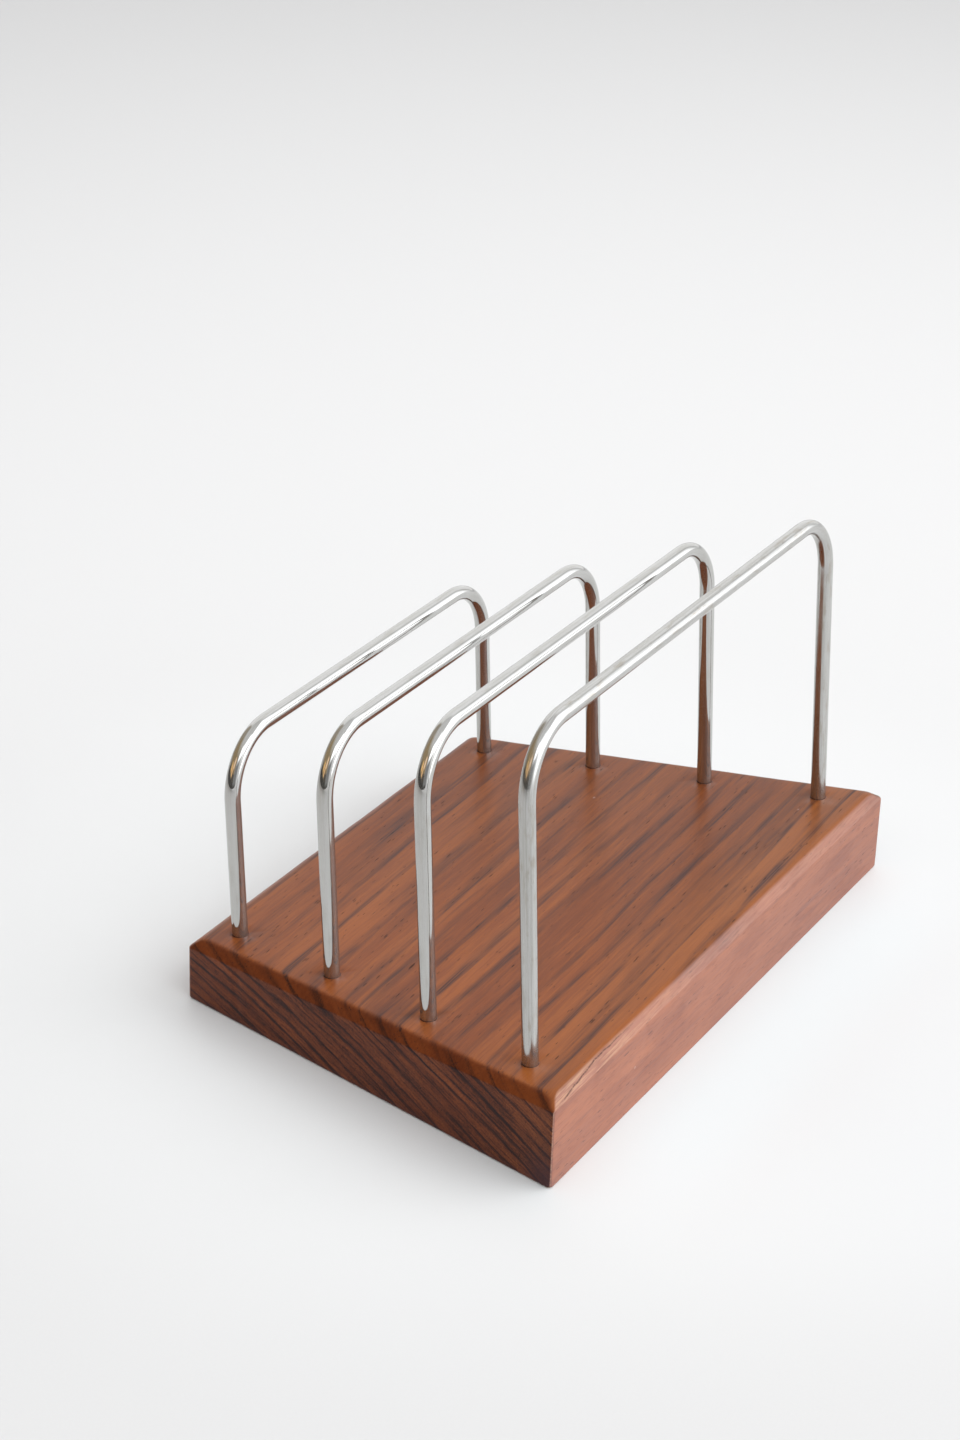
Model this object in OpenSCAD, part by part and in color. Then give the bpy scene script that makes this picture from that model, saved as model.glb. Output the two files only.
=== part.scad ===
// Table-top magazine rack.
// One wedge-shaped hardwood block carries four bent rod hoops. The block is a trapezoid in
// plan and thins towards its short side, so the hoops step down in both span and height.
// The hoops stand square to the sloping top, with their ends set in blind drilled holes.
// Frame: origin under the middle of the block at table level, X along the long side,
// Y from the thick long side to the thin short side, Z up. Millimetres.

/* [Block] */
// Length of the long, thick side
long_side = 272; // [240:1:320]
// Length of the short, thin side
short_side = 204; // [180:1:240]
// Width between the two parallel sides
width = 175; // [170:1:220]
// Thickness at the long side
thick_high = 35; // [32:0.5:45]
// Thickness at the short side
thick_low = 25.5; // [24.5:0.5:31]
// Chamfer round the top, measured across the top face
chamfer_across = 4; // [1:0.5:6]
// Chamfer round the top, measured down the sides
chamfer_down = 3.5; // [1:0.5:6]
// Size of the small bevel that softens the bottom edges
bottom_bevel = 1.2; // [0.4:0.1:3]

/* [Hoops] */
// Diameter of the round rod
rod_d = 6; // [4:0.5:8]
// Bend radius at the centre of the rod
bend_r = 23; // [12:1:30]
// Height of the shortest hoop, from the top face to the centre of its bar
height_short = 78; // [60:1:100]
// Height of the tallest hoop, measured the same way
height_tall = 123; // [105:1:160]
// Spacing of the hoops across the block
pitch = 46.5; // [36:0.5:47]
// Distance of the tallest hoop from the long side
first_hoop = 20.5; // [14:0.5:21]
// Distance of the legs from the ends of the block
end_margin = 15.5; // [12:0.5:24]

/* [Holes] */
// Depth of the blind holes, square to the top face
hole_depth = 18; // [12:0.5:20]
// Gap for glue round each leg
glue_gap = 0.05; // [0.02:0.01:0.15]
// Bevel on the cut ends of the rod
tip_bevel = 0.8; // [0.2:0.1:1.2]

/* [Hidden] */
$fn = 96;

hoop_count = 4;
slope = atan((thick_high - thick_low) / width);   // fall of the top face
slant_width = width / cos(slope);                 // width measured along the top face
end_run = (long_side - short_side) / 2;           // how far each end leans inwards
spare = 12;                                       // overshoot of the cutting solids

plan = corners(width);
top_plan = corners(slant_width);

// Corners of the block's outline for a given width, anticlockwise from the long side
function corners(w) = [
    [-long_side / 2, 0],
    [long_side / 2, 0],
    [short_side / 2, w],
    [-short_side / 2, w]
];

// Hoops are counted from 1, the shortest, to 4, the tallest
function tenth(v) = round(v * 10) / 10;
function step_share(k) = (k - 1) / (hoop_count - 1);
function hoop_y(k) = -width / 2 + first_hoop + (hoop_count - k) * pitch;
function hoop_height(k) = tenth(height_short + (height_tall - height_short) * step_share(k));
function top_z(y) = thick_high - (y + width / 2) * tan(slope);
function half_length(y) = long_side / 2 - end_run * (y + width / 2) / width;
function half_span(k) = tenth(half_length(hoop_y(k)) - end_margin);

// Frame on the top face, with its origin at the middle of the long edge
module on_top() {
    translate([0, -width / 2, thick_high]) rotate([-slope, 0, 0]) children();
}

// Frame on the top face, midway between the legs of one hoop
module at_hoop(k) {
    translate([0, hoop_y(k), top_z(hoop_y(k))]) rotate([-slope, 0, 0]) children();
}

// Runs a profile along every edge of an outline: its x points inwards and its y up
module along_edges(points) {
    for (i = [0 : len(points) - 1]) {
        a = points[i];
        b = points[(i + 1) % len(points)];
        run = norm(b - a) + 2 * spare;
        translate([(a.x + b.x) / 2, (a.y + b.y) / 2, 0])
            rotate(atan2(b.y - a.y, b.x - a.x))
                translate([-run / 2, 0, 0])
                    rotate([90, 0, 90]) linear_extrude(run) children();
    }
}

// What the chamfer takes off a top edge
module chamfer_profile() {
    polygon([
        [2 * chamfer_across, chamfer_down],
        [-chamfer_across, chamfer_down],
        [-chamfer_across, -2 * chamfer_down]
    ]);
}

// What the softening takes off a bottom edge
module bottom_profile() {
    polygon([
        [-bottom_bevel, -bottom_bevel],
        [2 * bottom_bevel, -bottom_bevel],
        [-bottom_bevel, 2 * bottom_bevel]
    ]);
}

module leg_holes() {
    for (k = [1 : hoop_count], side = [-1, 1])
        at_hoop(k) translate([side * half_span(k), 0, -hole_depth])
            cylinder(h = hole_depth + spare, d = rod_d + 2 * glue_gap);
}

module wood_base() {
    color([0.52, 0.28, 0.18])
        difference() {
            translate([0, -width / 2, 0]) linear_extrude(thick_high) polygon(plan);
            on_top() translate([-long_side, -spare, 0]) cube([2 * long_side, width + 3 * spare, thick_high]);
            on_top() along_edges(top_plan) chamfer_profile();
            translate([0, -width / 2, 0]) along_edges(plan) bottom_profile();
            leg_holes();
        }
}

// Quarter bend from a leg, on the right, to the bar above
module bend() {
    rotate([90, 0, 0]) rotate_extrude(angle = 90) translate([bend_r, 0]) circle(d = rod_d);
}

// Straight leg with its bevelled tail, from the bottom of the hole to the bend
module leg(h) {
    translate([0, 0, -hole_depth]) cylinder(h = tip_bevel, d1 = rod_d - 2 * tip_bevel, d2 = rod_d);
    translate([0, 0, tip_bevel - hole_depth])
        cylinder(h = hole_depth - tip_bevel + h - bend_r, d = rod_d);
}

module hoop(k) {
    h = hoop_height(k);
    bar = half_span(k) - bend_r;
    color([0.78, 0.78, 0.76])
        at_hoop(k) {
            translate([-bar, 0, h]) rotate([0, 90, 0]) cylinder(h = 2 * bar, d = rod_d);
            for (side = [0, 1]) mirror([side, 0, 0]) {
                translate([bar, 0, h - bend_r]) bend();
                translate([half_span(k), 0, 0]) leg(h);
            }
        }
}

wood_base();
hoop(1);  // hoop_1
hoop(2);  // hoop_2
hoop(3);  // hoop_3
hoop(4);  // hoop_4
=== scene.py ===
"""Looks of the magazine rack: an oiled hardwood wedge with four polished rod hoops.

Everything is in metres, in the CAD frame: origin under the middle of the block, X along the long
side, Y from the thick long side to the thin short side, Z up.
"""

import math
import random

import bmesh
import bpy
from mathutils import Matrix, Vector, geometry, noise


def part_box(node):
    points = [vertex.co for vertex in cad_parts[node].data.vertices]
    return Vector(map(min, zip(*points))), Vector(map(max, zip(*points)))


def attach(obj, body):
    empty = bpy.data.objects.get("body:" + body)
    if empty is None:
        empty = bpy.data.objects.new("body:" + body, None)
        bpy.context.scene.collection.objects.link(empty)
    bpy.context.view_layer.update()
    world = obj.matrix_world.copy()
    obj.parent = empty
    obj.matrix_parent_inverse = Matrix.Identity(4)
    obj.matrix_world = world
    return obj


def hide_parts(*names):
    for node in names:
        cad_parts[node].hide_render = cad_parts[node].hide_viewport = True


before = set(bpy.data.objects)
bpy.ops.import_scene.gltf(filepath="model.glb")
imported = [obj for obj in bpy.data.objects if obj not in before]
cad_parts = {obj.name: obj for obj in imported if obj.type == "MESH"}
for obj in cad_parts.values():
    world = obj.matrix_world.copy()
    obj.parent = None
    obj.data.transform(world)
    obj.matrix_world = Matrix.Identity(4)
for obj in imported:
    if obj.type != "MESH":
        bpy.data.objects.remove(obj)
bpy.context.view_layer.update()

# ---------------------------------------------------------------- dimensions

MM = 0.001
HOOPS = ["hoop_1", "hoop_2", "hoop_3", "hoop_4"]     # from the shortest to the tallest

block_low, block_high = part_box("wood_base")
LONG_SIDE = block_high.x - block_low.x
WIDTH = block_high.y - block_low.y
SHORT_SIDE = 204 * MM
THICK_HIGH = 35 * MM
THICK_LOW = 25.5 * MM
CHAMFER_ACROSS = 4 * MM
CHAMFER_DOWN = 3.5 * MM

ROD_R = 3 * MM
BEND_R = 23 * MM
HOLE_DEPTH = 18 * MM
HOLE_R = 3.05 * MM
TIP_BEVEL = 0.8 * MM

FALL = (THICK_HIGH - THICK_LOW) / WIDTH              # fall of the top face per metre of width
SLOPE = math.atan(FALL)
LEG_UP = Vector((0, math.sin(SLOPE), math.cos(SLOPE)))    # the way the legs point


def top_z(y):
    """Height of the sloping top face."""
    return THICK_HIGH - (y + WIDTH / 2) * FALL


class Hoop:
    """Where one hoop stands, read from its CAD box."""

    def __init__(self, name):
        low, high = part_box(name)
        self.name = name
        self.half_span = high.x - ROD_R
        self.bar = Vector((0, high.y - ROD_R, high.z - ROD_R))
        self.height = (self.bar.z - top_z(self.bar.y)) * math.cos(SLOPE)
        self.foot = self.bar - LEG_UP * self.height


hoops = [Hoop(name) for name in HOOPS]

# ---------------------------------------------------------------- mesh helpers


def new_object(name, bm):
    """Turns a bmesh into a smooth-shaded object of the scene."""
    mesh = bpy.data.meshes.new(name)
    bm.normal_update()
    bm.to_mesh(mesh)
    bm.free()
    mesh.shade_smooth()
    ob = bpy.data.objects.new(name, mesh)
    bpy.context.scene.collection.objects.link(ob)
    return ob


def bridge(bm, ring_a, ring_b):
    """Quads between two closed rings of the same length."""
    n = len(ring_a)
    for i in range(n):
        j = (i + 1) % n
        bm.faces.new((ring_a[i], ring_a[j], ring_b[j], ring_b[i]))


def circle(count):
    """The cosine and sine at each of count equal steps round a circle."""
    turns = [2 * math.pi * k / count for k in range(count)]
    return [(math.cos(a), math.sin(a)) for a in turns]


def soft_corner(a, corner, b, reach, steps):
    """Points of a smooth curve that rounds off the corner of the path a, corner, b."""
    start = corner + (a - corner).normalized() * reach
    end = corner + (b - corner).normalized() * reach
    points = []
    for i in range(steps + 1):
        t = i / steps
        points.append(start * (1 - t) ** 2 + corner * 2 * t * (1 - t) + end * t ** 2)
    return points


# ---------------------------------------------------------------- wooden block

PLAN = [
    Vector((-LONG_SIDE / 2, -WIDTH / 2)),
    Vector((LONG_SIDE / 2, -WIDTH / 2)),
    Vector((SHORT_SIDE / 2, WIDTH / 2)),
    Vector((-SHORT_SIDE / 2, WIDTH / 2)),
]
EDGE_STEP = 1.6 * MM           # spacing of mesh points along the block's edges
CORNER_STEPS = 6
EDGE_ROUND = 0.9 * MM          # least radius of the four upright edges
CORNER_ROUND = (0.9 * MM, 2.8 * MM, 2.4 * MM, 1.8 * MM)    # each edge's own, in PLAN's order
FOOT_ROUND = 2.4 * MM          # least radius of the same edges where they meet the table
TOP_ROUND = 3.2 * MM           # radius of the top face's corners, where the chamfers meet

BOTTOM_ROUND = 1 * MM
BOTTOM_STEPS = 6
BOTTOM_SHARE = 0.75            # how far the radius has gone from FOOT_ROUND to EDGE_ROUND there
FOOT_SHARES = ((2.2 * MM, 0.85), (3.6 * MM, 0.94), (5.5 * MM, 1))    # (height, how far by then)
ARRIS_SOFT = 0.5 * MM          # softening of the chamfer's lower edge, and its mesh steps
ARRIS_STEPS = 4
CREST_SOFT = 1.8 * MM          # the same of its upper edge
CREST_STEPS = 8
RIM = CHAMFER_ACROSS + 5 * MM  # where the drilled part of the top face starts

SANDED_WIDTH = 8 * MM          # how far in from the sides hand sanding reaches
HAND_WOBBLE = 0.09 * MM        # how far it leaves the edges from straight
SANDED_FALL = 120 * MM         # it moves them towards a spot this far below the block's middle
DENTS = 26
DENTS_ON_ARRIS = 0.6           # share of the dents that lie on the chamfer's lower edge
DENT_DROP = (6, 22)            # how far below the top the others lie, in millimetres
DENT_RADIUS = (0.9, 2.4)       # in millimetres
DENT_DEPTH = (0.06, 0.2)       # as a share of the radius

HOLE_SIDES = 32
MOUTH_SOFT = 0.35 * MM         # how far each hole's mouth is worn open
HOLE_RINGS = (                 # (radius, depth) of the mesh rings down a hole
    (HOLE_R + 0.1 * MM, 0.12 * MM),
    (HOLE_R, 0.4 * MM),
    (HOLE_R, HOLE_DEPTH),
)
GRID_STEP = 9 * MM             # spacing of mesh points inside the top face
GRID_MARGIN = 14 * MM          # least room between them and the block's sides
HOLE_CLEAR = 6 * MM            # and between them and the middle of a hole
INSIDE_ONLY = 1                # triangles inside the rim only, with none between it and its hull
MERGE_DISTANCE = 1e-7


def outline(inset, least_radius):
    """Points round the block's plan, moved in by inset, with its corners rounded."""
    count = len(PLAN)
    centres, starts, ends = [], [], []
    for i, here in enumerate(PLAN):
        before = (PLAN[i - 1] - here).normalized()
        after = (PLAN[(i + 1) % count] - here).normalized()
        middle = (before + after).normalized()
        half = before.angle(after) / 2
        bend = max(least_radius, CORNER_ROUND[i])
        centres.append(here + middle * (inset + bend) / math.sin(half))
        starts.append(Vector((before.y, -before.x)) * -bend)
        ends.append(Vector((after.y, -after.x)) * bend)
    points = []
    for i in range(count):
        j = (i + 1) % count
        turn = starts[i].angle_signed(ends[i])
        for k in range(CORNER_STEPS + 1):
            spin = Matrix.Rotation(-turn * k / CORNER_STEPS, 2)
            points.append(centres[i] + spin @ starts[i])
        p = centres[i] + ends[i]
        q = centres[j] + starts[j]
        steps = round((PLAN[j] - PLAN[i]).length / EDGE_STEP)
        points += [p.lerp(q, k / steps) for k in range(1, steps)]
    return points


def block_profile():
    """Section of the block's edge from under the bottom to on the top.

    Each entry is (inset, height, from_top, corner radius): height is measured up from the table,
    or down from the sloping top face where from_top is true.
    """
    rows = []
    for k in range(BOTTOM_STEPS + 1):
        a = math.radians(90 * k / BOTTOM_STEPS)
        inset = BOTTOM_ROUND * (1 - math.sin(a))
        radius = FOOT_ROUND + (EDGE_ROUND - FOOT_ROUND) * BOTTOM_SHARE * k / BOTTOM_STEPS
        rows.append((inset, BOTTOM_ROUND * (1 - math.cos(a)), False, radius))
    for height, share in FOOT_SHARES:
        rows.append((0, height, False, FOOT_ROUND + (EDGE_ROUND - FOOT_ROUND) * share))
    far = 12 * MM              # only the directions of the next two count
    side = Vector((0, CHAMFER_DOWN + far))
    flat = Vector((CHAMFER_ACROSS + far, 0))
    outer = Vector((0, CHAMFER_DOWN))
    inner = Vector((CHAMFER_ACROSS, 0))
    path = soft_corner(side, outer, inner, ARRIS_SOFT, ARRIS_STEPS)
    path += [outer.lerp(inner, t) for t in (0.3, 0.45)]
    path += soft_corner(outer, inner, flat, CREST_SOFT, CREST_STEPS)
    path.append(Vector((RIM, 0)))
    for p in path:
        share = min(p.x / CHAMFER_ACROSS, 1)
        rows.append((p.x, p.y, True, EDGE_ROUND + (TOP_ROUND - EDGE_ROUND) * share))
    return rows


def make_dents(rng):
    """A few knocks, most of them along the chamfer's edge: (centre, radius, depth)."""
    dents = []
    for _ in range(DENTS):
        side = rng.choice((0, 0, 1, 2, 3))             # the thick side has more than its share
        p = PLAN[side].lerp(PLAN[(side + 1) % 4], rng.uniform(0.03, 0.97))
        on_arris = rng.random() < DENTS_ON_ARRIS
        drop = CHAMFER_DOWN if on_arris else rng.uniform(*DENT_DROP) * MM
        centre = Vector((p.x, p.y, top_z(p.y) - drop))
        radius = rng.uniform(*DENT_RADIUS) * MM
        dents.append((centre, radius, rng.uniform(*DENT_DEPTH) * radius))
    return dents


def sanded(p):
    """How far hand sanding moved an edge in at p: small and uneven."""
    wave = noise.noise(p * 55) + 0.5 * noise.noise(p * 170 + Vector((5, 1, 9)))
    return max(wave * HAND_WOBBLE + HAND_WOBBLE, 0)


def edge_point(p, inset, height, from_top, dents):
    """The point over p of one row of the block's edge, after sanding and knocks."""
    v = Vector((p.x, p.y, top_z(p.y) - height if from_top else height))
    if from_top and inset < SANDED_WIDTH:
        v += Vector((-p.x, -p.y, -SANDED_FALL)).normalized() * sanded(v)
    for centre, size, depth in dents:
        near = (v - centre).length
        if near < size:
            inward = Vector((-p.x, -p.y, 0)).normalized()
            v += inward * depth * (1 - (near / size) ** 2) ** 2
    return v


def wood_base():
    """The wedge block, one closed mesh: eased edges, softened chamfer, drilled holes."""
    dents = make_dents(random.Random(7))
    bm = bmesh.new()
    rings = []
    for inset, height, from_top, radius in block_profile():
        rings.append([bm.verts.new(edge_point(p, inset, height, from_top, dents))
                      for p in outline(inset, radius)])
    for low, high in zip(rings, rings[1:]):
        bridge(bm, low, high)
    bm.faces.new(reversed(rings[0]))
    drill(bm, rings[-1])
    bmesh.ops.triangulate(bm, faces=[f for f in bm.faces if len(f.verts) > 4])
    ob = new_object("wood_base_detail", bm)
    ob.data.set_sharp_from_angle(angle=math.radians(50))
    return ob


def grid_points(centres):
    """Evenly spaced plan points of the top face, clear of its edges and of the holes."""
    half_x, half_y = LONG_SIDE / 2, WIDTH / 2
    count_x, count_y = int(half_x / GRID_STEP), int(half_y / GRID_STEP)
    points = []
    for i in range(-count_x, count_x + 1):
        for j in range(-count_y, count_y + 1):
            p = Vector((i * GRID_STEP, j * GRID_STEP))
            room = half_x - (LONG_SIDE - SHORT_SIDE) / 2 * (p.y + half_y) / WIDTH
            free = abs(p.x) < room - GRID_MARGIN and abs(p.y) < half_y - GRID_MARGIN
            if free and all((p - centre.to_2d()).length > HOLE_CLEAR for centre in centres):
                points.append(p)
    return points


def drill(bm, rim):
    """Closes the top face round the eight leg holes and sinks the holes."""
    centres = [Vector((side * hoop.half_span, hoop.foot.y, hoop.foot.z))
               for hoop in hoops for side in (-1, 1)]
    points = [Vector((v.co.x, v.co.y)) for v in rim]
    loops = [range(len(rim))]
    reach = HOLE_R + MOUTH_SOFT
    for centre in centres:
        loops.append(range(len(points), len(points) + HOLE_SIDES))
        for c, s in circle(HOLE_SIDES):
            points.append(Vector((centre.x + reach * c, centre.y + reach * s * math.cos(SLOPE))))
    points += grid_points(centres)
    edges = [(loop[k], loop[(k + 1) % len(loop)]) for loop in loops for k in range(len(loop))]

    made = geometry.delaunay_2d_cdt(points, edges, [], INSIDE_ONLY, MERGE_DISTANCE)
    made_points, made_faces, sources = made[0], made[2], made[3]
    verts = []
    for p, source in zip(made_points, sources):
        if source and source[0] < len(rim):
            verts.append(rim[source[0]])
        else:
            verts.append(bm.verts.new((p.x, p.y, top_z(p.y))))
    made_at = {source[0]: i for i, source in enumerate(sources) if source}
    mouths = [[made_at[i] for i in loop] for loop in loops[1:]]
    mouth_of = {i: number for number, mouth in enumerate(mouths) for i in mouth}
    for face in made_faces:
        touched = {mouth_of.get(i) for i in face}
        if len(touched) > 1 or None in touched:        # not a face across a hole's mouth
            bm.faces.new([verts[i] for i in face])
    for centre, mouth in zip(centres, mouths):
        sink(bm, centre, [verts[i] for i in mouth])


def sink(bm, centre, ring):
    """A blind hole along the legs, down from the ring of its mouth."""
    for radius, depth in HOLE_RINGS:
        lower = []
        for c, s in circle(HOLE_SIDES):
            out = Vector((c, s * LEG_UP.z, -s * LEG_UP.y))
            lower.append(bm.verts.new(centre + out * radius - LEG_UP * depth))
        bridge(bm, ring, lower)
        ring = lower
    bm.faces.new(ring)


# ---------------------------------------------------------------- rod hoops

ROD_SIDES = 40
LEG_STEPS = 30
BEND_STEPS = 25
BAR_STEPS = 60
BEND_SQUEEZE = 0.975           # how far a bend flattens the rod
ROD_WOBBLE = 0.012 * MM        # unevenness of the rod's radius


def hoop_path(hoop):
    """Stations along a hoop's centre line: (point, across, run, bent).

    across lies in the hoop's plane, square to the rod; run is the length from the first tail;
    bent is true inside the two bends.
    """
    side_x = Vector((1, 0, 0))
    bar_half = hoop.half_span - BEND_R
    straight = hoop.height - BEND_R
    bottom = -HOLE_DEPTH
    spots = []                         # (across the block, along the legs, turn in degrees)
    for k in range(LEG_STEPS + 1):
        h = bottom + (straight - bottom) * k / LEG_STEPS
        spots.append((-hoop.half_span, h, -90))
    for k in range(1, BEND_STEPS):
        a = 90 * k / BEND_STEPS
        r = math.radians(a)
        x = -bar_half - BEND_R * math.cos(r)
        spots.append((x, straight + BEND_R * math.sin(r), a - 90))
    first_side = list(spots)
    for k in range(BAR_STEPS + 1):
        x = -bar_half + 2 * bar_half * k / BAR_STEPS
        spots.append((x, hoop.height, 0))
    for x, h, turn in reversed(first_side):
        spots.append((-x, h, -turn))

    stations = []
    run = 0
    for x, h, turn in spots:
        point = hoop.foot + side_x * x + LEG_UP * h
        r = math.radians(turn)
        across = LEG_UP * math.cos(r) + side_x * math.sin(r)
        if stations:
            run += (point - stations[-1][0]).length
        stations.append((point, across, run, 0 < abs(turn) < 90))
    return stations


def make_hoop(hoop, seed):
    """One bent rod as a closed tube, with bevelled cut ends and slightly flattened bends.

    Its points keep (cosine, sine, run) in the layer "rod", for the metal's drawn lines.
    """
    bm = bmesh.new()
    facing = Vector((0, LEG_UP.z, -LEG_UP.y))        # out of the hoop's plane
    coords = bm.verts.layers.float_vector.new("rod")
    rings = []
    for point, across, run, bent in hoop_path(hoop):
        squeeze = BEND_SQUEEZE if bent else 1.0
        wave = ROD_WOBBLE * noise.noise(Vector((run * 45, seed * 7.3, 0)))
        ring = []
        for c, s in circle(ROD_SIDES):
            out = across * c * squeeze + facing * s
            v = bm.verts.new(point + out * (ROD_R + wave))
            v[coords] = (c, s, run)
            ring.append(v)
        rings.append(ring)
    for a, b in zip(rings, rings[1:]):
        bridge(bm, a, b)
    for ring in (rings[0], rings[-1]):
        middle = sum((v.co for v in ring), Vector()) / len(ring)
        tip = []
        for v in ring:
            w = bm.verts.new(middle + (v.co - middle) * (1 - TIP_BEVEL / ROD_R))
            w[coords] = v[coords]
            tip.append(w)
            v.co += LEG_UP * TIP_BEVEL
        if ring is rings[0]:
            bridge(bm, tip, ring)
            bm.faces.new(reversed(tip))
        else:
            bridge(bm, ring, tip)
            bm.faces.new(tip)
    bmesh.ops.recalc_face_normals(bm, faces=bm.faces)
    ob = new_object(hoop.name + "_rod", bm)
    ob.data.set_sharp_from_angle(angle=math.radians(40))
    return ob


# ---------------------------------------------------------------- shader helpers


class Nodes:
    """Short ways to add and join shader nodes in one tree."""

    def __init__(self, owner):
        owner.use_nodes = True
        self.tree = owner.node_tree
        self.tree.nodes.clear()

    def add(self, kind, inputs=None, **settings):
        """Adds a shader node with some inputs joined or set."""
        node = self.tree.nodes.new("ShaderNode" + kind)
        for key, value in settings.items():
            setattr(node, key, value)
        for key, value in (inputs or {}).items():
            self.feed(node.inputs[key], value)
        return node

    def feed(self, socket, value):
        """Joins a socket to another, or sets its value."""
        if isinstance(value, bpy.types.NodeSocket):
            self.tree.links.new(value, socket)
        else:
            socket.default_value = value

    def math(self, operation, a, b=None, clamp=False):
        """One sum on numbers."""
        inputs = {0: a} if b is None else {0: a, 1: b}
        return self.add("Math", inputs, operation=operation, use_clamp=clamp).outputs[0]

    def plus(self, a, b):
        return self.math("ADD", a, b)

    def times(self, a, b):
        return self.math("MULTIPLY", a, b)

    def distance(self, a, b):
        """How far point a is from point b."""
        return self.add("VectorMath", {0: a, 1: b}, operation="DISTANCE").outputs["Value"]

    def parts(self, vector):
        """The X, Y and Z of a vector."""
        return self.add("SeparateXYZ", {0: vector}).outputs

    def stretch(self, vector, scale, shift=(0, 0, 0), turn=(0, 0, 0)):
        """Scales, turns and shifts a vector."""
        inputs = {"Vector": vector, "Scale": scale, "Location": shift, "Rotation": turn}
        return self.add("Mapping", inputs).outputs[0]

    def noise(self, vector, scale, shift=(0, 0, 0), detail=2.0, rough=0.5):
        """Noise of about 0 to 1, with scale waves per metre along each axis."""
        inputs = {"Vector": self.stretch(vector, scale, shift), "Scale": 1.0,
                  "Detail": detail, "Roughness": rough}
        return self.add("TexNoise", inputs).outputs["Fac"]

    def cells(self, vector, scale):
        """Distance from the middle of the nearest of many scattered cells."""
        inputs = {"Vector": self.stretch(vector, scale), "Scale": 1.0}
        return self.add("TexVoronoi", inputs).outputs["Distance"]

    def window(self, value, low, high, out_low=0.0, out_high=1.0):
        """A smooth step from out_low to out_high as value goes from low to high."""
        inputs = {"Value": value, "From Min": low, "From Max": high,
                  "To Min": out_low, "To Max": out_high}
        node = self.add("MapRange", inputs, interpolation_type="SMOOTHSTEP")
        return node.outputs["Result"]

    def mix(self, factor, a, b, blend="MIX"):
        """Blends colour a towards b; a colour is a socket or red, green and blue."""
        node = self.add("Mix", data_type="RGBA", blend_type=blend)
        for key, value in ((0, factor), (6, a), (7, b)):
            self.feed(node.inputs[key], (*value, 1) if isinstance(value, tuple) else value)
        return node.outputs[2]

    def tint(self, colour, factors):
        """A colour times red, green and blue factors."""
        return self.mix(1.0, colour, factors, "MULTIPLY")

    def ramp(self, value, stops):
        """A colour ramp through (place, colour) stops."""
        node = self.add("ValToRGB", {"Fac": value})
        bar = node.color_ramp
        while len(bar.elements) < len(stops):
            bar.elements.new(0.5)
        for element, (place, colour) in zip(bar.elements, stops):
            element.position = place
            element.color = (*colour, 1)
        return node.outputs["Color"]

    def finish(self, shader, output="OutputMaterial"):
        """Joins a shader to the tree's output."""
        out = self.add(output)
        self.tree.links.new(shader.outputs[0], out.inputs["Surface"])


# ---------------------------------------------------------------- wood

GRAIN_TURN = math.radians(-1.6)        # the grain runs nearly, not quite, along the long side
PITH = (0, 0.35, -0.84)                # a point of the tree's centre line, far below the block
RING_GAP = 4.6 * MM
TRUNK_WAVES = (((3.2, 13, 13), 5 * MM), ((8, 110, 110), 1.1 * MM))    # (noise scale, height)

BOARD_TONES = [
    (0.39, (0.175, 0.0410, 0.0095)),
    (0.50, (0.250, 0.0645, 0.0145)),
    (0.61, (0.335, 0.0950, 0.0215)),
]
SAPWOOD = (0.40, 0.135, 0.030)
LATE_WOOD = (0.058, 0.0185, 0.0130)
PORE = (0.022, 0.008, 0.005)
SPECK = (0.50, 0.33, 0.26)
# painted haze of reflection: the far end of the wood turns bluer and less red
FAR_END_HAZE_TINT = (0.895, 0.930, 1.030)
# darker end grain, and on the end chamfer partly painted shade
END_GRAIN_AND_SHADE_TINT = (0.54, 0.40, 0.29)
END_OPEN_TINT = (1.30, 1.62, 2.90)     # the end grain between its dark lines
END_CLOSED_TINT = (0.340, 0.38, 1.14)  # its dark lines
# painted shade at the foot of the end face
END_FOOT_SHADE = (0.045, 0.016, 0.022)
# painted light and sheen of the long sides and their chamfers
SIDE_SHEEN = (0.50, 0.32, 0.315)
SIDE_SHADE = (0.150, 0.060, 0.052)
RUBBED = (0.66, 0.40, 0.24)
VEIN = (0.060, 0.022, 0.018)


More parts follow.
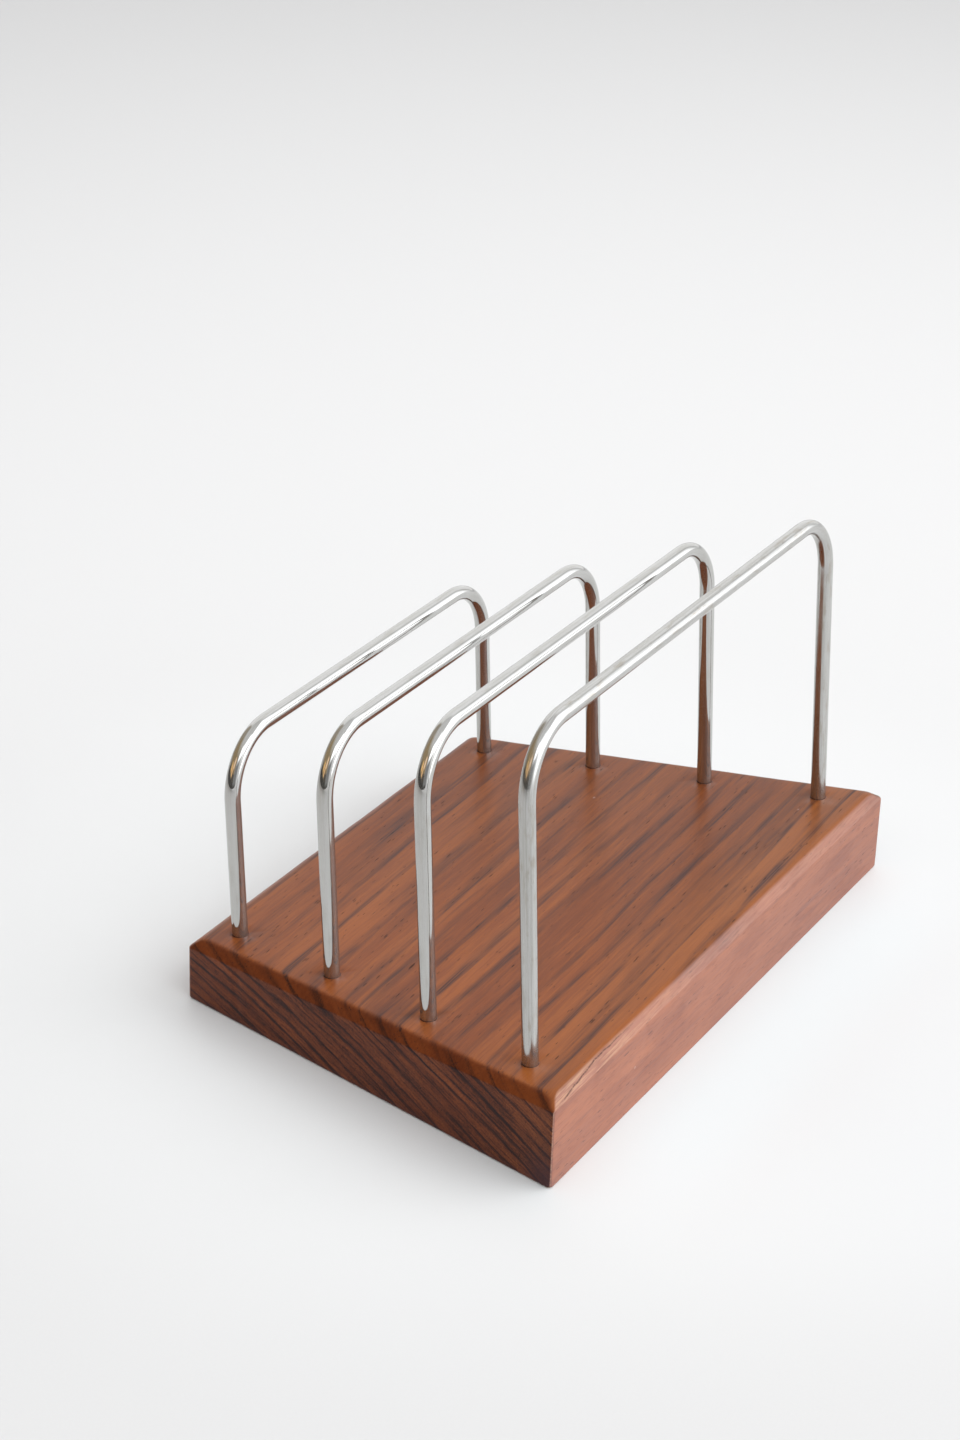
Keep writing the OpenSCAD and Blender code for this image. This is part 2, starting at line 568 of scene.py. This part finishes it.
class Wood:
    """Oiled, open-pored hardwood as a solid: rings, dark streaks, fibres and pores.

    colour is the base colour so far. Each method lays more over it.
    """

    def __init__(self):
        self.material = bpy.data.materials.new("oiled_hardwood")
        self.n = Nodes(self.material)
        self.find_place()
        self.find_trunk()
        self.draw_rings()
        self.draw_fibres()
        self.colour_board()
        self.colour_ends()
        self.shade_end_foot()
        self.colour_sides()
        self.rub_chamfer()
        self.draw_vein()
        self.finish()

    def find_place(self):
        """Where a point is, in the block and along the grain, and how its surface faces."""
        n = self.n
        place = n.add("TexCoord")
        self.here = place.outputs["Object"]
        self.spot = n.parts(self.here)
        self.at = n.stretch(self.here, (1, 1, 1), turn=(0, 0, GRAIN_TURN))
        self.along = n.parts(self.at)
        facing = n.parts(place.outputs["Normal"])
        self.end = n.math("ABSOLUTE", facing["X"])
        self.across = n.math("ABSOLUTE", facing["Y"])
        self.ends = n.window(self.end, 0.72, 0.96)
        self.sides = n.window(self.across, 0.30, 0.62)     # with their chamfers

    def find_trunk(self):
        """Distance from the pith, bent by slow waves along the trunk."""
        n = self.n
        flat = n.add("VectorMath", {0: self.at, 1: (0, 1, 1)}, operation="MULTIPLY").outputs[0]
        reach = n.distance(flat, PITH)
        for scale, height in TRUNK_WAVES:
            wave = n.math("SUBTRACT", n.noise(self.at, scale), 0.5)
            reach = n.plus(reach, n.times(wave, height))
        self.reach = reach
        trunk = {"X": self.along["X"], "Y": reach, "Z": self.along["Y"]}
        self.grain = n.add("CombineXYZ", trunk).outputs[0]

    def draw_rings(self):
        """Growth rings, which darken slowly and stop sharply, and fine dark streaks."""
        n = self.n
        turns = n.math("DIVIDE", self.reach, RING_GAP)
        shift = n.times(n.noise(self.grain, (4, 110, 10)), 1.6)
        share = n.math("FRACT", n.plus(turns, shift))
        self.late = n.times(n.window(share, 0.56, 0.86), n.window(share, 0.90, 1.0, 1.0, 0.0))
        self.strength = n.noise(self.grain, (15, 230, 24), detail=3, rough=0.6)
        self.ring = n.times(self.late, n.window(self.strength, 0.38, 0.60, 0.10, 1.0))
        streak = n.noise(self.grain, (10, 640, 12), (2, 6, 3), 3, 0.55)
        self.streak = n.window(streak, 0.52, 0.70)

    def draw_fibres(self):
        """Fibres, and pores that crowd into the dark streaks."""
        n, at = self.n, self.at
        self.fibre = n.noise(at, (40, 1100, 1100), detail=4, rough=0.7)
        self.hair = n.noise(at, (130, 3600, 3600), (4, 1, 6), 2, 0.6)
        self.grit = n.noise(at, (150, 1700, 1700), (2, 7, 5), 2, 0.6)
        self.mottle = n.noise(self.grain, (13, 210, 40), (3, 5, 8), 3, 0.6)
        thread = n.noise(at, (38, 1900, 1900), (6, 3, 2))
        self.thread = n.window(thread, 0.36, 0.60, 0.50, 1.0)
        crowd = n.plus(n.times(self.streak, 0.10), n.window(self.mottle, 0.45, 0.7, 0, 0.07))
        pore = n.math("LESS_THAN", n.cells(at, (110, 820, 820)), n.plus(crowd, 0.11))
        deep = n.window(n.noise(at, (30, 160, 160), (9, 2, 4)), 0.35, 0.6, 0.25, 1.0)
        self.pore = n.times(pore, deep)

    def colour_board(self):
        """Ground tone, dark figure, pores and a few pale specks, and painted haze of reflection
        that turns the far end bluer.
        """
        n = self.n
        broad = n.noise(self.grain, (5, 150, 8), (1, 4, 8), 3, 0.6)
        tone = n.plus(n.times(broad, 0.45), n.times(self.fibre, 0.35))
        colour = n.ramp(n.plus(tone, n.times(self.hair, 0.20)), BOARD_TONES)
        sap = n.window(self.along["Y"], -0.040, -0.085)
        colour = n.mix(n.times(sap, 0.30), colour, SAPWOOD)
        calm = n.window(self.across, 0.70, 0.95, 1.0, 0.30)
        band = n.math("ADD", n.times(self.ring, 0.90), n.times(self.streak, 0.42), clamp=True)
        band = n.times(n.times(band, self.thread), calm)
        colour = n.mix(band, colour, LATE_WOOD)
        colour = n.mix(n.window(self.mottle, 0.50, 0.74, 0.0, 0.35), colour, LATE_WOOD)
        colour = n.mix(n.times(self.pore, 0.75), colour, PORE)
        speck = n.window(n.cells(self.at, (34, 46, 46)), 0.015, 0.030, 0.55, 0.0)
        colour = n.mix(speck, colour, SPECK)
        # painted haze of reflection, growing towards the far end
        far = n.window(self.along["X"], -0.110, 0.060)
        self.colour = n.mix(far, colour, n.tint(colour, FAR_END_HAZE_TINT))

    def colour_ends(self):
        """End grain drinks more oil: darker, with the rings standing out. On the end chamfer, part
        of the darkening is painted shade, as it faces away from the light.
        """
        n, grain = self.n, self.grain
        # darker end faces and chamfers: end grain, and on the chamfer partly painted shade
        end_grain_and_shade = n.window(self.end, 0.14, 0.55)
        colour = n.mix(end_grain_and_shade, self.colour, n.tint(self.colour, END_GRAIN_AND_SHADE_TINT))
        dash = n.noise(grain, (60, 1300, 240), (1, 9, 4), 3, 0.7)
        thin = n.noise(grain, (25, 1050, 70), (3, 8, 1), 2, 0.6)
        broad = n.noise(grain, (20, 90, 30), (8, 2, 4))
        closed = n.times(self.late, n.window(self.strength, 0.30, 0.60, 0.20, 0.65))
        closed = n.plus(closed, n.window(thin, 0.44, 0.62, 0.0, 0.42))
        closed = n.plus(closed, n.window(dash, 0.38, 0.68, 0.0, 0.50))
        closed = n.plus(closed, n.window(self.grit, 0.38, 0.64, -0.16, 0.18))
        closed = n.plus(closed, n.window(self.along["Y"], -0.01, 0.08, 0.0, -0.16))
        closed = n.math("ADD", closed, n.window(broad, 0.40, 0.65, 0.0, 0.20), clamp=True)
        lines = n.mix(closed, END_OPEN_TINT, END_CLOSED_TINT)
        self.colour = n.mix(self.ends, colour, n.tint(colour, lines))

    def shade_end_foot(self):
        """Painted shade at the end's lower corner by the long side, and along the end's lower edge.
        """
        n = self.n
        corner = n.distance(self.here, (-LONG_SIDE / 2, -WIDTH / 2, 0))
        # painted shade: darker near the end's lower corner and within 2 mm of the table
        foot_shade = n.math("MAXIMUM", n.window(corner, 3 * MM, 18 * MM, 0.80, 0.0),
                       n.window(self.spot["Z"], 0.3 * MM, 2.0 * MM, 0.30, 0.0))
        self.colour = n.mix(n.times(foot_shade, self.ends), self.colour, END_FOOT_SHADE)

    def colour_sides(self):
        """The long sides and their chamfers are painted paler and pinker than the top, standing in
        for light and sheen from the window side, with darker blotches and flecks.
        """
        n = self.n
        # painted light and sheen: the long sides paler, their chamfers most
        pale = n.times(self.sides, n.window(self.across, 0.75, 0.97, 0.33, 0.26))
        colour = n.mix(pale, self.colour, SIDE_SHEEN)
        blotch = n.noise(self.at, (28, 90, 90), (5, 5, 1), 3, 0.6)
        blotch = n.times(n.window(blotch, 0.46, 0.66, 0.0, 0.24), self.sides)
        colour = n.mix(blotch, colour, SIDE_SHADE)
        fleck = n.times(n.window(self.grit, 0.50, 0.70, 0.0, 0.30), self.sides)
        self.colour = n.mix(fleck, colour, SIDE_SHADE)

    def rub_chamfer(self):
        """The long chamfers are rubbed pale in streaks, most of all near one end."""
        n = self.n
        bevel = n.times(self.sides, n.window(self.across, 0.74, 0.90, 1.0, 0.0))
        rubbed = n.noise(self.at, (55, 1300, 1300), (7, 2, 8), 3, 0.65)
        rubbed = n.times(n.window(rubbed, 0.40, 0.62, 0.05, 0.42), bevel)
        rubbed = n.times(rubbed, n.window(self.spot["X"], -0.115, -0.030, 1.0, 0.25))
        self.colour = n.mix(rubbed, self.colour, RUBBED)

    def draw_vein(self):
        """A dark, broken vein wanders across the chamfer from the end's corner by the thick long
        side.
        """
        n, x = self.n, self.spot["X"]
        line = n.window(x, -0.140, -0.094, -0.0876, -0.0851)
        line = n.plus(line, n.times(n.noise(self.here, (170, 0, 0), detail=3), 1.2 * MM))
        off = n.math("ABSOLUTE", n.math("SUBTRACT", self.spot["Y"], line))
        vein = n.times(n.window(off, 0.05 * MM, 0.34 * MM, 0.85, 0.0), self.sides)
        vein = n.times(vein, n.window(x, -0.131, -0.124))
        vein = n.times(vein, n.window(x, -0.094, -0.070, 1.0, 0.0))
        broken = n.noise(self.here, (700, 0, 0), (3, 0, 0), 3, 0.7)
        vein = n.times(vein, n.window(broken, 0.36, 0.56, 0.25, 1.0))
        self.colour = n.mix(vein, self.colour, VEIN)

    def finish(self):
        """Gloss and relief."""
        n = self.n
        rough = n.window(self.fibre, 0.3, 0.8, 0.30, 0.44)
        rough = n.plus(rough, n.times(self.sides, 0.18))
        rough = n.math("ADD", rough, n.times(self.pore, 0.25), clamp=True)
        relief = n.math("SUBTRACT", n.times(self.fibre, 0.25), n.times(self.pore, 0.8))
        relief = n.math("SUBTRACT", relief, n.times(self.ring, 0.15))
        bump = n.add("Bump", {"Height": relief, "Strength": 0.5, "Distance": 0.12 * MM})
        n.finish(n.add("BsdfPrincipled", {
            "Base Color": self.colour, "Roughness": rough, "Normal": bump.outputs[0],
            "IOR": 1.5, "Specular IOR Level": 0.2,
        }))


# ---------------------------------------------------------------- metal and floor

METAL = 0.93                   # the rest is the haze of fine scratches
PLATE = (0.55, 0.55, 0.54)
PLATE_DULL = (0.50, 0.50, 0.48)
DRAWN_LINE = (0.36, 0.355, 0.335)
TARNISH = (0.33, 0.29, 0.23)
PIT = (0.10, 0.075, 0.055)


def rod_material(name, polish, wear):
    """Plated steel rod. polish is the mean roughness, wear how much the drawn lines show."""
    material = bpy.data.materials.new(name)
    n = Nodes(material)
    rod = n.add("Attribute", attribute_name="rod", attribute_type="GEOMETRY").outputs["Vector"]
    lines = n.noise(rod, (11, 11, 14), detail=4, rough=0.7)
    haze = n.noise(rod, (1.6, 1.6, 60), detail=3, rough=0.6)
    pit = n.window(n.cells(rod, (7, 7, 1500)), 0.10, 0.20, 1.0, 0.0)
    where = n.noise(rod, (1.5, 1.5, 45), (4, 2, 7))
    pit = n.times(pit, n.window(where, 0.56, 0.70, 0.0, wear))
    colour = n.mix(n.window(haze, 0.35, 0.7), PLATE, PLATE_DULL)
    colour = n.mix(n.window(lines, 0.42, 0.62, 0.0, 0.55 * wear), colour, DRAWN_LINE)
    patch = n.noise(rod, (1.2, 1.2, 110), (3, 3, 8), 3, 0.6)
    colour = n.mix(n.window(patch, 0.50, 0.72, 0.0, 0.5 * wear), colour, TARNISH)
    colour = n.mix(n.times(pit, 0.85), colour, PIT)
    rough = n.window(haze, 0.3, 0.75, polish * 0.75, polish * 1.35)
    rough = n.plus(rough, n.times(n.math("SUBTRACT", lines, 0.5), 0.12 * wear))
    rough = n.math("ADD", rough, n.times(pit, 0.3), clamp=True)
    height = n.math("SUBTRACT", n.times(lines, 0.5 * wear), pit)
    bump = n.add("Bump", {"Height": height, "Strength": 0.25, "Distance": 0.03 * MM})
    n.finish(n.add("BsdfPrincipled", {
        "Base Color": colour, "Metallic": METAL, "Roughness": rough, "Normal": bump.outputs[0],
    }))
    return material


PAPER = ((0.759, 0.759, 0.759), (0.779, 0.779, 0.779))
# painted shade: the grey the floor fades to far off
FALLOFF_SHADE = (0.418, 0.418, 0.418)
# painted light and shade round the rack, neutral to bluish against the wood's red bounce
PAINTED_POOLS = [                # centre, distance where the pool ends and where it is full, colour
    ((0, 0, 0), 0.30, 0.10, (0.822, 0.832, 0.834)),
    ((0.03, -0.18, 0), 0.20, 0.06, (0.776, 0.782, 0.786)),
]
# painted light beside the thick long side, bluish to cancel the wood's red bounce
PAINTED_STRIP = (0.812, 0.886, 0.907)


def floor_material():
    """Matt white paper with painted light and shade: darker away from the window, and broad tints
    round the rack.
    """
    material = bpy.data.materials.new("paper_white")
    n = Nodes(material)
    place = n.add("TexCoord").outputs["Object"]
    spot = n.parts(place)
    tint = n.mix(n.noise(place, (900, 900, 900)), *PAPER)
    # painted shade: the floor darkens with distance on the far side, standing in for the light's
    # falloff
    falloff_shade = n.window(n.distance(place, (0.37, -0.09, 0)), 0.11, 2.20)
    tint = n.mix(n.times(falloff_shade, n.window(spot["Y"], -1.0, -0.4)), tint, FALLOFF_SHADE)
    # painted light and shade pools round the rack
    for centre, end, full, colour in PAINTED_POOLS:
        tint = n.mix(n.window(n.distance(place, centre), end, full), tint, colour)
    # painted light beside the thick long side, cancelling the wood's red bounce
    gap = n.math("ABSOLUTE", n.plus(spot["Y"], WIDTH / 2))
    along = n.window(n.math("ABSOLUTE", spot["X"]), 0.17, 0.07)
    painted_strip = n.times(n.window(gap, 0.060, 0.0), along)      # beside the thick long side
    tint = n.mix(painted_strip, tint, PAINTED_STRIP)
    n.finish(n.add("BsdfPrincipled", {
        "Base Color": tint, "Roughness": 0.5, "Specular IOR Level": 0.24,
    }))
    return material


# ---------------------------------------------------------------- stage

FLOOR_RINGS = (0.25, 0.8, 2.0, 3.5, 5.5, 8.0)     # radii of the floor's rings of mesh points
FLOOR_SIDES = 96


def make_floor():
    """A wide, flat, pale floor."""
    bm = bmesh.new()
    rings = []
    for radius in FLOOR_RINGS:
        rings.append([bm.verts.new((radius * c, radius * s, 0)) for c, s in circle(FLOOR_SIDES)])
    bm.faces.new(rings[0])
    for a, b in zip(rings, rings[1:]):
        bridge(bm, b, a)
    floor = new_object("floor", bm)
    floor.data.materials.append(floor_material())


def direction(azimuth, elevation):
    """Unit vector from the rack towards an azimuth and elevation: azimuth 0 is -Y, 90 is +X."""
    a, e = math.radians(azimuth), math.radians(elevation)
    return Vector((math.sin(a) * math.cos(e), -math.cos(a) * math.cos(e), math.sin(e)))


def soft_light(name, azimuth, elevation, distance, size, brightness):
    """A rectangular softbox aimed at the rack; brightness is its radiance."""
    lamp = bpy.data.lights.new(name, "AREA")
    lamp.shape = "RECTANGLE"
    lamp.size, lamp.size_y = size
    lamp.energy = brightness * math.pi * size[0] * size[1]
    ob = bpy.data.objects.new(name, lamp)
    towards = direction(azimuth, elevation)
    ob.location = towards * distance
    ob.rotation_mode = "QUATERNION"
    ob.rotation_quaternion = towards.to_track_quat("Z", "Y")
    bpy.context.scene.collection.objects.link(ob)


# The room round the rack, as soft-edged patches of light: azimuth and elevation from and to, and
# widths of their two soft edges, all in degrees; then the colour
BACKDROP = ((80, 152), (-5, 56), (8, 14))
ROOM = [
    ((-200, -75), (48, 76), (16, 12), (0.60, 0.53, 0.41)),          # warm upper wall
    (*BACKDROP, (0.92, 0.92, 0.93)),
    ((150, 200), (-5, 60), (8, 14), (0.48, 0.42, 0.34)),            # wall beside the backdrop
    ((-200, -74), (9, 50), (10, 8), (0.44, 0.32, 0.17)),            # dim wooden furniture
    ((-137, -125), (17, 31), (4, 5), (1.70, 0.98, 0.36)),           # lit things on it
    ((-113, -90), (29, 46), (6, 6), (1.35, 0.95, 0.64)),
    ((-116, -105), (15, 30), (4, 4), (1.50, 0.86, 0.38)),
    ((-170, -40), (-5, 13), (10, 5), (0.06, 0.055, 0.05)),          # dark lower room
    ((-102, -72), (10, 22), (5, 5), (0.12, 0.10, 0.08)),
    ((-200, 200), (62, 95), (1, 20), (0.86, 0.86, 0.86)),           # ceiling
    ((-64, 10), (40, 64), (10, 8), (2.70, 2.74, 2.84)),             # window, upper left part
    ((-18, 64), (-5, 56), (26, 8), (2.70, 2.74, 2.84)),             # window
    ((-72, -38), (4, 34), (5, 5), (0.30, 0.30, 0.30)),              # photographer
]
WALLS = (0.72, 0.72, 0.72)             # the room between the patches
BACKDROP_SHINE = (1.20, 1.20, 1.20)    # the backdrop's brightness in reflections
LEAST_LIGHT = 0.50                     # least grey of the light on matt surfaces
PAGE = (0.80, 0.80, 0.80)              # what the camera sees past the floor


def make_world():
    """Room light: neutral on matt surfaces, with the room's own patches in reflections.

    It is bright towards the window side, and dim and warm behind the viewer.
    """
    world = bpy.data.worlds.new("studio")
    bpy.context.scene.world = world
    n = Nodes(world)
    way = n.parts(n.add("TexCoord").outputs["Generated"])
    azimuth = n.math("ARCTAN2", way["X"], n.times(way["Y"], -1))
    elevation = n.math("ARCSINE", way["Z"])

    def between(value, limits, soft):
        """1 where value lies between the limits, with soft edges; all but value in degrees."""
        low, high = (math.radians(limit) for limit in limits)
        soft = math.radians(soft)
        rise = n.window(value, low - soft / 2, low + soft / 2)
        return n.times(rise, n.window(value, high - soft / 2, high + soft / 2, 1, 0))

    def inside(across, upwards, soft):
        """1 inside a patch of the room."""
        return n.times(between(azimuth, across, soft[0]), between(elevation, upwards, soft[1]))

    colour = WALLS
    for *area, patch in ROOM:
        colour = n.mix(inside(*area), colour, patch)
    plain = n.math("MAXIMUM", n.add("RGBToBW", {"Color": colour}).outputs[0], LEAST_LIGHT)
    colour = n.mix(inside(*BACKDROP), colour, BACKDROP_SHINE)
    rays = n.add("LightPath").outputs
    colour = n.mix(rays["Is Diffuse Ray"], colour, plain)
    colour = n.mix(rays["Is Camera Ray"], colour, PAGE)
    n.finish(n.add("Background", {"Color": colour}), "OutputWorld")


def make_camera():
    """The camera at the picture's viewing angle: above the near corner of the end face."""
    azimuth, elevation, roll = -60.28, 26.8, 1.92
    distance = 1.3134
    target = Vector((97.6, 79.7, 34.75)) * MM
    back = direction(azimuth, elevation)
    data = bpy.data.cameras.new("camera")
    data.lens = 78.6
    data.sensor_width = 36
    data.dof.use_dof = False
    data.clip_start, data.clip_end = 0.05, 50
    camera = bpy.data.objects.new("camera", data)
    camera.location = target + back * distance
    camera.rotation_mode = "QUATERNION"
    level = (-back).to_track_quat("-Z", "Y")
    camera.rotation_quaternion = level @ Matrix.Rotation(math.radians(roll), 3, "Z").to_quaternion()
    bpy.context.scene.collection.objects.link(camera)
    bpy.context.scene.camera = camera


# ---------------------------------------------------------------- build

make_camera()
make_world()
make_floor()
soft_light("window", azimuth=28, elevation=28, distance=7.0, size=(5.0, 3.6), brightness=1.0)

block = wood_base()
block.data.materials.append(Wood().material)
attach(block, "root")
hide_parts("wood_base")

bright = rod_material("polished_rod", polish=0.07, wear=0.35)
satin = rod_material("worn_rod", polish=0.20, wear=1.0)
for number, hoop in enumerate(hoops, 1):
    rod = make_hoop(hoop, number)
    rod.data.materials.append(satin if number == len(hoops) else bright)
    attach(rod, "root")
    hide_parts(hoop.name)

bpy.context.scene.view_settings.view_transform = "Standard"
